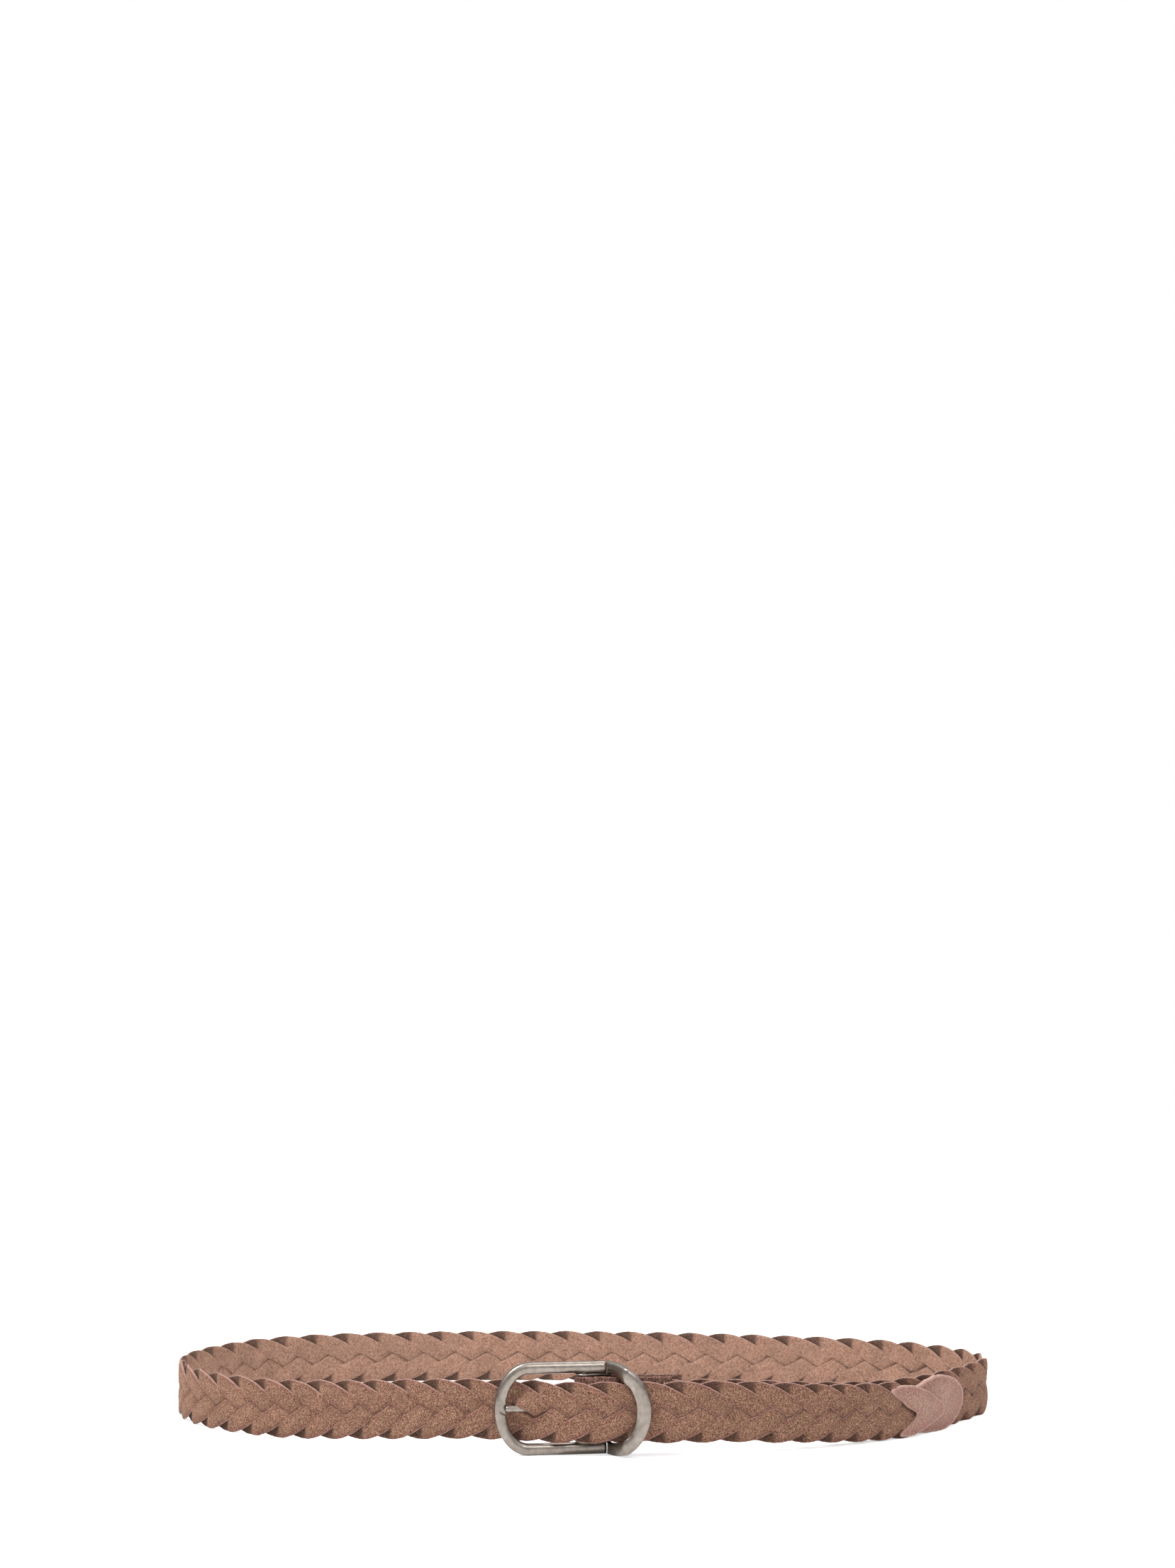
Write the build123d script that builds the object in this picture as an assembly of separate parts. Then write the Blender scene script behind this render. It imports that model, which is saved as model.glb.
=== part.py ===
"""Plaited leather belt, buckled into a loop and standing on its edge.

Millimetres. While it is being built, the buckle's bar stands at X = 0, Y = 0 and the belt rests on
Z = 0: +X to the right along the front of the loop, +Y towards its back. The last step moves every
piece so that the middle of the belt's footprint is the origin.
"""
import math
import os

from build123d import *

# ---- driving dimensions -------------------------------------------------------------------------
STRAP_WIDTH = 26.0            # plaited strap, edge to edge
STRAP_THICKNESS = 4.2         # two crossing strips of leather and the air between them
STRAND_COUNT = 5
LANE_GAP = 0.1                # air between neighbouring strand solids
LOOP_WIDTH = 392.0            # across the belt's closed loop, middle of the strap
LOOP_DEPTH = 208.0            # from the buckle's bar to the back of the loop

# Centre line of the strap's inner layer, seen from above, once round from the bar.
LOOP_SHAPE = [
    (0, 0), (58, 4), (117, 25), (158, 56), (182, 86), (196, 116), (191, 136), (176, 157),
    (148, 175), (105, 189), (45, 202), (-20, 208), (-80, 206), (-128, 198), (-161, 184),
    (-184, 157), (-196, 115), (-186, 80), (-161, 53), (-119, 30), (-60, 6),
]
LOOP_SHAPE_SIZE = (392, 208)  # the width and depth that the shape above is drawn for
LIFT_FLAT = 42.0              # half length of the stretch that the buckle holds up
LIFT_END = 150.0              # the strap is down on the floor from here on
SPLIT_DEPTH = 60.0            # the lifted stretch lies wholly in front of this

TAIL_START = 33.0             # the flexing tail begins just past the keeper
TAIL_GAP = 0.4
PLAIT_END = 150.0             # the plait ends here, past the bar
TIP_CAP_END = 176.0
TIP_TAB_END = 196.0
TIP_CAP_THICKNESS = 1.7
TIP_JOIN_GAP = 0.1

STRAP_PLAY = 4.0              # the buckle's opening is this much higher than the strap is wide
RAIL = 5.0                    # width of the buckle's rails
RAIL_TO_STRAP = 1.0           # the strap's lower edge is this far above the lower rail
FRAME_LEFT = 38.7             # from the bar to the outside of the closed end
FRAME_END_WIDTH = 4.8
FRAME_RIGHT = 9.9             # the rails end here, past the bar
FRAME_DEPTH = 3.8
FRAME_END_SHARE = 0.3876      # the closed end is half an oval, this share of the frame's length
FRAME_ROUND = 1.6
FRAME_FORWARD = 5.784         # the closed end leans out this far, over the strap that comes through it

BAR_RADIUS = 2.0
BAR_SHOULDER = 0.7            # the bar's ends are this much thinner in radius
BAR_END_DEPTH = 3.5
RUNNING_CLEARANCE = 0.05

PRONG_RADIUS = 1.7
PRONG_TIP_RADIUS = 1.45
PRONG_EYE_WALL = 1.5          # metal round the bar
PRONG_EYE_HEIGHT = 4.0
PRONG_ABOVE_MIDDLE = 0.4
PRONG_ROOM = 0.2              # air between the tip and the recess's floor
NOTCH_ROOM = 1.25             # the half-round recess for the tip is this much wider in radius
NOTCH_FLOOR = 0.9             # metal left behind the recess
NOTCH_INSET = 0.3             # the recess's centre is this far inside the closed end's edge
SLOT_ROOM = 1.0               # the prong's slot is this much higher than its eye
SLOT_SPARE = 1.0              # and starts this far before the strap begins to rise
SLOT_END = -0.4
TIP_INSET = 0.35              # the prong's tip reaches this far past the recess's centre
FOLD_SPACE = 9.0              # between the prong's eye and the plait's end inside the chape

EAR_THICKNESS = 0.8
EAR_GAP = 0.05
EAR_WALL = 1.6                # metal round the bar
EAR_WIDTH = 4.0
EAR_SETBACK = 0.6             # the ear's flat part starts this far in front of its riser
EAR_TRIM = 1.2
EAR_FOOT = 1.8                # length of the riser that joins an ear to the keeper
KEEPER_GAP = 0.3              # seam between the rails' ends and the keeper
KEEPER_REACH = 29.0
KEEPER_WIDTH = 6.2
KEEPER_THICKNESS = 3.2
KEEPER_ROOM = 0.5             # air between the strap and the cross piece
KEEPER_LEG = 8.3              # length of its legs, seen from the front
KEEPER_BEND = 4.0
KEEPER_CORNER = 14.0
KEEPER_INNER_CORNER = 7.0

CHAPE_THICKNESS = 1.8
CHAPE_GAP = 0.2               # between the plait and each leaf, and at least this round the bar
CHAPE_TO_EAR = 0.35
CHAPE_FRONT_END = 38.0
CHAPE_BACK_END = 43.0
STITCH_PITCH = 3.0
STITCH_LENGTH = 2.2
STITCH_DIAMETER = 0.45
STITCH_GAP = 0.02             # between the thread and the leather it lies on
STITCH_ROWS = (8.5, 34.5)
STITCH_EDGE = 2.2
OVER_THREAD = 0.23            # air between the free layer of the strap and the thread
OVER_PLAIT = 0.4              # and where it lies on the plait itself
RISE_ROOM = 0.1               # the strap rises through the frame from this far outside its opening
RISE_END = 8.0                # to here, before the bar
FALL_START, FALL_END = 46.0, 70.0     # and comes down off the chape between these, past the bar

# ---- worked out from them -----------------------------------------------------------------------
FRAME_OPENING = STRAP_WIDTH + STRAP_PLAY
FRAME_HEIGHT = FRAME_OPENING + 2 * RAIL
MIDDLE_Z = FRAME_HEIGHT / 2
FRAME_END_REACH = FRAME_LEFT * FRAME_END_SHARE
FRAME_TILT = math.degrees(math.atan(FRAME_FORWARD / FRAME_LEFT))
RISE_START = FRAME_LEFT - FRAME_END_WIDTH + RISE_ROOM
LIFT = RAIL + RAIL_TO_STRAP
LANE_PITCH = STRAP_WIDTH / STRAND_COUNT
HALF = STRAP_THICKNESS / 2
BAR_END_RADIUS = BAR_RADIUS - BAR_SHOULDER
CHAPE_BORE = max(HALF, BAR_RADIUS) + CHAPE_GAP        # inside radius of the fold, half the gap for the plait
CHAPE_HEIGHT = FRAME_OPENING - 2 * (EAR_GAP + EAR_THICKNESS + CHAPE_TO_EAR)
OVER_CHAPE = CHAPE_BORE + CHAPE_THICKNESS + STITCH_GAP + STITCH_DIAMETER + OVER_THREAD + HALF
OVER_STRAP = STRAP_THICKNESS + OVER_PLAIT
PRONG_Z = MIDDLE_Z + PRONG_ABOVE_MIDDLE
PRONG_EYE_RADIUS = BAR_RADIUS + PRONG_EYE_WALL
NOTCH_RADIUS = PRONG_TIP_RADIUS + NOTCH_ROOM
NOTCH_CENTRE = -(FRAME_LEFT - FRAME_END_WIDTH + NOTCH_INSET)
PRONG_REACH = -NOTCH_CENTRE + PRONG_TIP_RADIUS + TIP_INSET    # from the bar to the end of its tip
SLOT_HEIGHT = PRONG_EYE_HEIGHT + SLOT_ROOM            # opening for the prong in the chape and in the plait
SLOT_START = -RISE_START - SLOT_SPARE
FOLD_ROOM = PRONG_EYE_RADIUS + FOLD_SPACE             # from the bar to the plait's end inside the chape
EAR_RADIUS = BAR_RADIUS + EAR_WALL
KEEPER_START = FRAME_RIGHT + KEEPER_GAP
EAR_END = KEEPER_START + EAR_FOOT
KEEPER_ELBOW = KEEPER_START + KEEPER_LEG
KEEPER_FRONT = -(OVER_CHAPE + HALF + KEEPER_ROOM + KEEPER_THICKNESS / 2)
RAIL_END_Y = FRAME_RIGHT * math.tan(math.radians(FRAME_TILT))
SAMPLE_STEP = 8.0
OVERSHOOT = 5.0               # tools are this much larger than what they cut
WIDE = LOOP_WIDTH / LOOP_SHAPE_SIZE[0]
DEEP = LOOP_DEPTH / LOOP_SHAPE_SIZE[1]
LOOP_POINTS = [(x * WIDE, y * DEEP) for x, y in LOOP_SHAPE]
FAR_Y = LOOP_DEPTH + 20
SPLIT_Y = SPLIT_DEPTH * DEEP

LOOP = Spline(*LOOP_POINTS, periodic=True)
LOOP_LENGTH = LOOP.length


def smooth(t):
    """0 to 1 with level ends."""
    t = min(max(t, 0.0), 1.0)
    return t * t * (3 - 2 * t)


def layer_offset(along):
    """How far the strap's centre line lies outside the inner layer's, at a distance from the bar."""
    past = along - LOOP_LENGTH
    rise = OVER_CHAPE * smooth((past + RISE_START) / (RISE_START - RISE_END))
    fall = (OVER_CHAPE - OVER_STRAP) * smooth((past - FALL_START) / (FALL_END - FALL_START))
    return rise - fall


def strap_frame(along):
    """Point, direction and outward normal on the inner layer's centre line."""
    distance = along % LOOP_LENGTH
    point = LOOP.position_at(distance, position_mode=PositionMode.LENGTH)
    direction = LOOP.tangent_at(distance, position_mode=PositionMode.LENGTH)
    return point, direction, Vector(direction.Y, -direction.X, 0)


def strap_point(along, across):
    """Point at a distance along the strap and across its own thickness, outwards positive."""
    point, _, normal = strap_frame(along)
    return point + normal * (layer_offset(along) + across)


def stations(start, end):
    count = max(4, math.ceil((end - start) / SAMPLE_STEP))
    return [start + (end - start) * i / count for i in range(count + 1)]


def side_curve(start, end, across):
    return Spline(*[strap_point(along, across) for along in stations(start, end)])


def strap_face(start, end, inner, outer):
    """The strap seen from above, between two distances along it and two across its thickness."""
    outside = side_curve(start, end, outer)
    inside = side_curve(start, end, inner)
    caps = [Line(outside @ 0, inside @ 0), Line(outside @ 1, inside @ 1)]
    return make_face([outside, inside] + caps)


def lift_at(x):
    return LIFT * (1 - smooth((abs(x) - LIFT_FLAT) / (LIFT_END - LIFT_FLAT)))


def lift_slab(low, high):
    """A level slab whose front part follows the lifted stretch of the strap."""
    count = 24
    reach = LOOP_WIDTH * 0.6
    xs = [-LIFT_END + 2 * LIFT_END * i / count for i in range(count + 1)]
    level = [(1, 0, 0), (1, 0, 0)]

    def edge(height):
        return Spline(*[(x, 0, height + lift_at(x)) for x in xs], tangents=level)

    edges = [edge(low), edge(high)]
    for side in (-1, 1):
        near, far = side * LIFT_END, side * reach
        edges += [Line((near, 0, low), (far, 0, low)), Line((near, 0, high), (far, 0, high))]
        edges.append(Line((far, 0, low), (far, 0, high)))
    profile = make_face(edges)
    front = extrude(profile, SPLIT_Y, dir=(0, 1, 0)) + extrude(profile, FRAME_HEIGHT, dir=(0, -1, 0))
    back_low = Location((0, SPLIT_Y, low))
    aligned = (Align.CENTER, Align.MIN, Align.MIN)
    return front + back_low * Box(2 * reach, FAR_Y - SPLIT_Y, high - low, align=aligned)


def block(x0, x1, y0, y1, z0, z1):
    corner = Location((x0, y0, z0))
    return corner * Box(x1 - x0, y1 - y0, z1 - z0, align=(Align.MIN, Align.MIN, Align.MIN))


def prong_slot(y0, y1, start=SLOT_START, end=SLOT_END):
    return block(start, end, y0, y1, PRONG_Z - SLOT_HEIGHT / 2, PRONG_Z + SLOT_HEIGHT / 2)


def lane_limits(index):
    low = index * LANE_PITCH + (LANE_GAP / 2 if index else 0)
    return low, (index + 1) * LANE_PITCH - LANE_GAP / 2


def strand_lanes(start, end):
    """The plait's strands as lanes side by side, each a fifth of the strap's height."""
    plan = strap_face(start, end, -HALF, HALF)
    ribbon = Pos(0, 0, -5) * extrude(plan, FRAME_HEIGHT + 10, dir=(0, 0, 1))
    return [ribbon & lift_slab(*lane_limits(index)) for index in range(STRAND_COUNT)]


def belt_strands():
    slot = prong_slot(-14, 8)
    lanes = strand_lanes(FOLD_ROOM, LOOP_LENGTH + TAIL_START - TAIL_GAP)
    return [lane - slot for lane in lanes]


def tail_strands():
    return strand_lanes(LOOP_LENGTH + TAIL_START, LOOP_LENGTH + PLAIT_END)


def rounded_tip(end, inner, outer):
    """A flat tab at the end of the strap, with a half-oval end."""
    start = LOOP_LENGTH + PLAIT_END + TIP_JOIN_GAP
    stop = LOOP_LENGTH + end
    body = extrude(strap_face(start, stop, inner, outer), STRAP_WIDTH, dir=(0, 0, 1))
    half_height = STRAP_WIDTH / 2
    length = min(half_height * 1.15, (end - PLAIT_END) * 0.9)
    neck = stop - length
    point, direction, normal = strap_frame(neck)
    place = point + normal * (layer_offset(neck) + inner) + Vector(0, 0, half_height)
    plane = Plane(origin=place, x_dir=direction, z_dir=normal)
    reach = (strap_point(stop, outer) - place).dot(direction)
    oval = Ellipse(reach, half_height) + Pos(-60, 0) * Rectangle(120, STRAP_WIDTH)
    cutter = extrude(plane * oval, 20, both=True)
    return body & cutter


def tip_cap():
    return rounded_tip(TIP_CAP_END, HALF - TIP_CAP_THICKNESS, HALF)


def tip_tab():
    return rounded_tip(TIP_TAB_END, -HALF, HALF - TIP_CAP_THICKNESS - TIP_JOIN_GAP)


def chape_half(inner, outer, end):
    """One leaf of the chape, from beside the bar to its end, on one side of the plait."""
    stops = [end * i / 8 for i in range(9)]

    def edge(across):
        points = []
        for along in stops:
            point, _, normal = strap_frame(along)
            points.append(point + normal * across)
        return Spline(*points)

    near, far = edge(inner), edge(outer)
    return make_face([near, far, Line(near @ 0, far @ 0), Line(near @ 1, far @ 1)])


def chape():
    """Leather folded round the bar, with the plait's end between its two leaves."""
    far = CHAPE_BORE + CHAPE_THICKNESS
    _, direction, normal = strap_frame(0)
    ring = Circle(far) - Circle(CHAPE_BORE)
    turn = math.degrees(math.atan2(direction.Y, direction.X))
    half_plane = Rot(0, 0, turn) * Pos(-far, 0) * Rectangle(2 * far, 4 * far)
    plan = (ring & half_plane) + chape_half(CHAPE_BORE, far, CHAPE_FRONT_END)
    plan = plan + chape_half(-CHAPE_BORE, -far, CHAPE_BACK_END)
    solid = Pos(0, 0, MIDDLE_Z - CHAPE_HEIGHT / 2) * extrude(plan, CHAPE_HEIGHT, dir=(0, 0, 1))
    return solid - prong_slot(-8, 8, -far - 1, PRONG_EYE_RADIUS + 0.6)


def chape_stitches():
    """Short runs of thread that show on both faces of the chape."""
    low = MIDDLE_Z - CHAPE_HEIGHT / 2 + STITCH_EDGE + STITCH_LENGTH / 2
    high = MIDDLE_Z + CHAPE_HEIGHT / 2 - STITCH_EDGE - STITCH_LENGTH / 2
    count = round((high - low) / STITCH_PITCH) + 1
    reach = CHAPE_BORE + CHAPE_THICKNESS + STITCH_GAP
    runs = []
    for along in STITCH_ROWS:
        point, _, normal = strap_frame(along)
        for side in (-1, 1):
            for index in range(count):
                height = low + (high - low) * index / (count - 1)
                place = point + normal * (side * (reach + STITCH_DIAMETER / 2)) + Vector(0, 0, height)
                thread = Cylinder(STITCH_DIAMETER / 2, STITCH_LENGTH - STITCH_DIAMETER)
                ends = [Pos(0, 0, s * (STITCH_LENGTH - STITCH_DIAMETER) / 2) for s in (-1, 1)]
                for end in ends:
                    thread = thread + end * Sphere(STITCH_DIAMETER / 2)
                runs.append(Location(place) * thread)
    return Compound(children=runs)


def tilt(shape):
    """From the buckle's own flat plane to where it lies."""
    return Rot(0, 0, FRAME_TILT) * shape


def c_outline(x_closed, x_open, low, high, corner):
    """Upright C outline in the XZ plane, open side at x_open, corners rounded at x_closed."""
    side = 1 if x_closed > x_open else -1
    over = x_open - side * OVERSHOOT
    corners = [(over, 0, low), (x_closed, 0, low), (x_closed, 0, high), (over, 0, high)]
    path = FilletPolyline(*corners, radius=corner)
    return make_face([path, Line(path @ 0, path @ 1)])


def oval_outline(x_closed, x_open, low, high, reach):
    """The same with a closed end that is half an oval, this long."""
    side = 1 if x_closed > x_open else -1
    over = x_open - side * OVERSHOOT
    neck = x_closed - side * reach
    middle = (low + high) / 2
    end = Ellipse(reach, (high - low) / 2)
    straight = Pos((over + neck) / 2, 0, middle) * (Plane.XZ * Rectangle(abs(neck - over), high - low))
    return straight + Pos(neck, 0, middle) * (Plane.XZ * end)


def prong_axis():
    """Start and end of the prong's straight axis in the buckle's flat plane, at its own height."""
    front = -FRAME_DEPTH / 2
    start = Vector(-BAR_RADIUS - PRONG_ROOM, front + PRONG_ROOM / 2, PRONG_Z)
    floor = FRAME_DEPTH / 2 - NOTCH_FLOOR
    end_x = -(PRONG_REACH - PRONG_TIP_RADIUS)
    end = Vector(end_x, floor - PRONG_ROOM - PRONG_TIP_RADIUS, PRONG_Z)
    return start, end


def prong_shank():
    start, end = prong_axis()
    run = end - start
    plane = Plane(origin=start, z_dir=run)
    shank = Pos(0, 0, run.length / 2) * Cone(PRONG_RADIUS, PRONG_TIP_RADIUS, run.length)
    return plane.location * shank + Location(end) * Sphere(PRONG_TIP_RADIUS)


def buckle_frame():
    outer = oval_outline(-FRAME_LEFT, FRAME_RIGHT, 0, FRAME_HEIGHT, FRAME_END_REACH)
    inner = oval_outline(-FRAME_LEFT + FRAME_END_WIDTH, FRAME_RIGHT, RAIL, FRAME_HEIGHT - RAIL,
                         FRAME_END_REACH - FRAME_END_WIDTH)
    plate = extrude(outer, FRAME_DEPTH / 2, both=True) - extrude(inner, FRAME_DEPTH, both=True)
    plate = plate - block(FRAME_RIGHT, FRAME_RIGHT + 2 * OVERSHOOT, -FRAME_DEPTH, FRAME_DEPTH,
                          -OVERSHOOT, FRAME_HEIGHT + OVERSHOOT)
    front_edges = plate.faces().sort_by(Axis.Y)[0].edges()
    long_edges = [e for e in front_edges if e.center().X < FRAME_RIGHT - 0.01]
    plate = fillet(long_edges, FRAME_ROUND)
    for height in (RAIL, FRAME_HEIGHT - RAIL):
        plate = plate - Pos(0, 0, height) * Cylinder(BAR_END_RADIUS, 2 * BAR_END_DEPTH)
    notch = Pos(NOTCH_CENTRE, -NOTCH_FLOOR, PRONG_Z) * Rot(90, 0, 0) * Cylinder(NOTCH_RADIUS, FRAME_DEPTH)
    return tilt(plate - notch)


def pivot_bar():
    middle = Pos(0, 0, MIDDLE_Z) * Cylinder(BAR_RADIUS, FRAME_OPENING)
    whole = FRAME_OPENING + 2 * BAR_END_DEPTH
    return middle + Pos(0, 0, MIDDLE_Z) * Cylinder(BAR_END_RADIUS, whole)


def prong():
    eye = Pos(0, 0, PRONG_Z) * Cylinder(PRONG_EYE_RADIUS, PRONG_EYE_HEIGHT)
    bore = Pos(0, 0, PRONG_Z) * Cylinder(BAR_RADIUS + RUNNING_CLEARANCE, PRONG_EYE_HEIGHT * 2)
    return tilt((eye + prong_shank()) - bore)


def keeper_bow():
    """The fixed-size loop that holds the tail down, hung on the bar by two thin ears."""
    outer = oval_outline(KEEPER_REACH, KEEPER_START, 0, FRAME_HEIGHT, KEEPER_CORNER)
    inner = c_outline(KEEPER_REACH - KEEPER_WIDTH, KEEPER_START, RAIL, FRAME_HEIGHT - RAIL,
                      KEEPER_INNER_CORNER)
    deep = 3 * OVER_CHAPE + FRAME_DEPTH
    upright = extrude(outer, deep, both=True) - extrude(inner, deep, both=True)
    low = -OVERSHOOT
    line = [(KEEPER_START - KEEPER_BEND, RAIL_END_Y, low), (KEEPER_START, RAIL_END_Y, low),
            (KEEPER_ELBOW, KEEPER_FRONT, low), (KEEPER_REACH + KEEPER_BEND, KEEPER_FRONT, low)]
    path = FilletPolyline(*line, radius=[KEEPER_BEND / 2, KEEPER_BEND])
    tall = FRAME_HEIGHT + 2 * OVERSHOOT
    shape = upright & extrude(trace(path, KEEPER_THICKNESS), tall, dir=(0, 0, 1))
    shape = shape - block(-deep, KEEPER_START, -deep, deep, low, low + tall)
    bore = Pos(0, 0, MIDDLE_Z) * Cylinder(BAR_RADIUS + RUNNING_CLEARANCE, FRAME_HEIGHT)
    y0 = RAIL_END_Y - EAR_WIDTH / 2
    for top in (False, True):
        near = FRAME_HEIGHT - RAIL - EAR_GAP - EAR_THICKNESS if top else RAIL + EAR_GAP
        ear = Pos(0, 0, near + EAR_THICKNESS / 2) * Cylinder(EAR_RADIUS, EAR_THICKNESS)
        back = y0 + EAR_WIDTH - EAR_TRIM
        ear = ear + block(0, EAR_END, y0 - EAR_SETBACK, back, near, near + EAR_THICKNESS)
        riser_low = near if top else near - EAR_TRIM
        riser_high = near + EAR_THICKNESS + (EAR_TRIM if top else 0)
        riser = block(KEEPER_START, EAR_END, y0, back, riser_low, riser_high)
        shape = shape + ear + riser
    return shape - bore


def build_pieces():
    pieces = {}
    for index, lane in enumerate(belt_strands(), 1):
        pieces[f"strand_{index}"] = lane
    for index, lane in enumerate(tail_strands(), 1):
        pieces[f"strand_{index}_tail"] = lane
    pieces["tip_cap"] = tip_cap()
    pieces["tip_tab"] = tip_tab()
    pieces["chape"] = chape()
    pieces["chape_stitches"] = chape_stitches()
    pieces["buckle_frame"] = buckle_frame()
    pieces["pivot_bar"] = pivot_bar()
    pieces["prong"] = prong()
    pieces["keeper_bow"] = keeper_bow()
    return pieces


def main():
    os.makedirs("parts", exist_ok=True)
    pieces = build_pieces()
    boxes = [piece.bounding_box() for piece in pieces.values()]
    low = [min(getattr(box.min, axis) for box in boxes) for axis in "XYZ"]
    high = [max(getattr(box.max, axis) for box in boxes) for axis in "XYZ"]
    move = Pos(-(low[0] + high[0]) / 2, -(low[1] + high[1]) / 2, -low[2])
    print("overall size", [round(h - l, 3) for l, h in zip(low, high)])
    print("the bar stands at", [round(v, 4) for v in move.position])
    print("once round the loop", round(LOOP_LENGTH, 2))
    hinge = strap_point(LOOP_LENGTH + TAIL_START, HALF)
    print("outer face at the tail's start", [round(v, 3) for v in hinge])
    for name, piece in pieces.items():
        export_step(move * piece, f"parts/{name}.step")
        print(f"{name:18s} {len(piece.solids())} solids {piece.volume:10.1f} mm3")


main()
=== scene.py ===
# %% [markdown]
# # A plaited suede belt, buckled and standing on its edge
#
# The belt is five strips of suede plaited flat, a folded leather chape that holds a metal buckle,
# and a rounded leather tip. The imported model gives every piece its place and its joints. This
# lesson builds the looks around it: the plait itself, the cut edges, the nap and the worn nickel.

# %% Load the fixed frame
import math

import bmesh
import bpy
import numpy as np
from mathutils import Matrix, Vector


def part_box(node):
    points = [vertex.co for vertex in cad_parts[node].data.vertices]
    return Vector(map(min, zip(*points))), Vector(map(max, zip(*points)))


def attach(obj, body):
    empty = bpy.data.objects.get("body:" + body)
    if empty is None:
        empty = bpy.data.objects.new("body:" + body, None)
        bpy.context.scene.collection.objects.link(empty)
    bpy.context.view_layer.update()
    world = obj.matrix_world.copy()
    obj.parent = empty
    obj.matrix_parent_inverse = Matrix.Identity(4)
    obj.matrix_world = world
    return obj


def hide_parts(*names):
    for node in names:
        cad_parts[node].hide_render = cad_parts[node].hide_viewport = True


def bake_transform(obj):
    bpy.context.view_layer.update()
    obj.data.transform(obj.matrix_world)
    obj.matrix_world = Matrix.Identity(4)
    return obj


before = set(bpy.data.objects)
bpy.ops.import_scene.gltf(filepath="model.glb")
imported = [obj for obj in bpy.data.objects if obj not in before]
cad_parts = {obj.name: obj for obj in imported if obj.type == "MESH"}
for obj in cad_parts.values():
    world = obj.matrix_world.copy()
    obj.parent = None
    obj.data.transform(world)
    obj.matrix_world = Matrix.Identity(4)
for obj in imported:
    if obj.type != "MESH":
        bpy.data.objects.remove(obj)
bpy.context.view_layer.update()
scene = bpy.context.scene
MM = 0.001
TAU = 2 * math.pi
print("pieces in the packed model:", sorted(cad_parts))

# %% [markdown]
# ## Sizes
#
# The belt is drawn in millimetres from the buckle's bar, as a maker would measure it, and moved to
# the bar's place in the frame at the end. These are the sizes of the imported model, and the few
# more that only the plait needs.

# %% Sizes of the strap and of the path that it follows
STRAP_WIDTH = 26.0
LIFT, LIFT_FLAT, LIFT_END = 6.0, 42.0, 150.0
FRONT_HALF = 100.0            # only the strap nearer than this to the bar is lifted by the buckle
LOOP_POINTS = [
    (0, 0), (58, 4), (117, 25), (158, 56), (182, 86), (196, 116), (191, 136), (176, 157),
    (148, 175), (105, 189), (45, 202), (-20, 208), (-80, 206), (-128, 198), (-161, 184),
    (-184, 157), (-196, 115), (-186, 80), (-161, 53), (-119, 30), (-60, 6),
]
OVER_CHAPE, OVER_STRAP = 6.9, 4.6
RISE_START, RISE_END = 34.0, 8.0
FALL_START, FALL_END = 46.0, 70.0
FOLD_ROOM = 12.5
KEEPER_COVER = 26.0           # the keeper hides the strap here, past the bar
PLAIT_END, PATH_END = 150.0, 198.0      # past the bar: the plait stops, and the path that it follows

bar_low, bar_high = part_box("pivot_bar")
BAR = np.array([(bar_low.x + bar_high.x) / 2, (bar_low.y + bar_high.y) / 2, 0.0])
print("the bar stands at", BAR.round(5))

# %% The strap's line, seen from above


def smooth(t):
    """0 to 1 with level ends."""
    t = np.clip(t, 0.0, 1.0)
    return t * t * (3 - 2 * t)


def closed_spline(points, steps=60):
    """A smooth closed curve: cubic pieces between points, spaced by their distances."""
    p = np.array(points, float)
    count = len(p)
    chord = np.linalg.norm(np.roll(p, -1, 0) - p, axis=1)
    matrix, right = np.zeros((count, count)), np.zeros((count, 2))
    for i in range(count):
        after, before = chord[i], chord[i - 1]
        matrix[i, i - 1] += before
        matrix[i, i] += 2 * (before + after)
        matrix[i, (i + 1) % count] += after
        right[i] = 6 * ((p[(i + 1) % count] - p[i]) / after - (p[i] - p[i - 1]) / before)
    bend = np.linalg.solve(matrix, right)
    b = np.linspace(0, 1, steps, endpoint=False)[:, None]
    a = 1 - b
    spans = []
    for i in range(count):
        j = (i + 1) % count
        curve = (a**3 - a) * bend[i] + (b**3 - b) * bend[j]
        spans.append(a * p[i] + b * p[j] + chord[i] ** 2 / 6 * curve)
    return np.concatenate(spans)


loop = closed_spline(LOOP_POINTS)
loop = np.vstack([loop, loop[:1]])
loop_along = np.concatenate([[0], np.cumsum(np.linalg.norm(np.diff(loop, axis=0), axis=1))])
LOOP_LENGTH = loop_along[-1]


def loop_point(along):
    along = np.mod(along, LOOP_LENGTH)
    return np.stack([np.interp(along, loop_along, loop[:, k]) for k in (0, 1)], axis=-1)


def loop_outward(along):
    direction = loop_point(along + 0.5) - loop_point(along - 0.5)
    direction /= np.linalg.norm(direction, axis=-1, keepdims=True)
    return np.stack([direction[..., 1], -direction[..., 0]], axis=-1)


def layer_offset(along):
    """How far the strap lies outside its inner layer, past the bar for the second time."""
    past = along - LOOP_LENGTH
    rise = OVER_CHAPE * smooth((past + RISE_START) / (RISE_START - RISE_END))
    return rise - (OVER_CHAPE - OVER_STRAP) * smooth((past - FALL_START) / (FALL_END - FALL_START))


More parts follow.
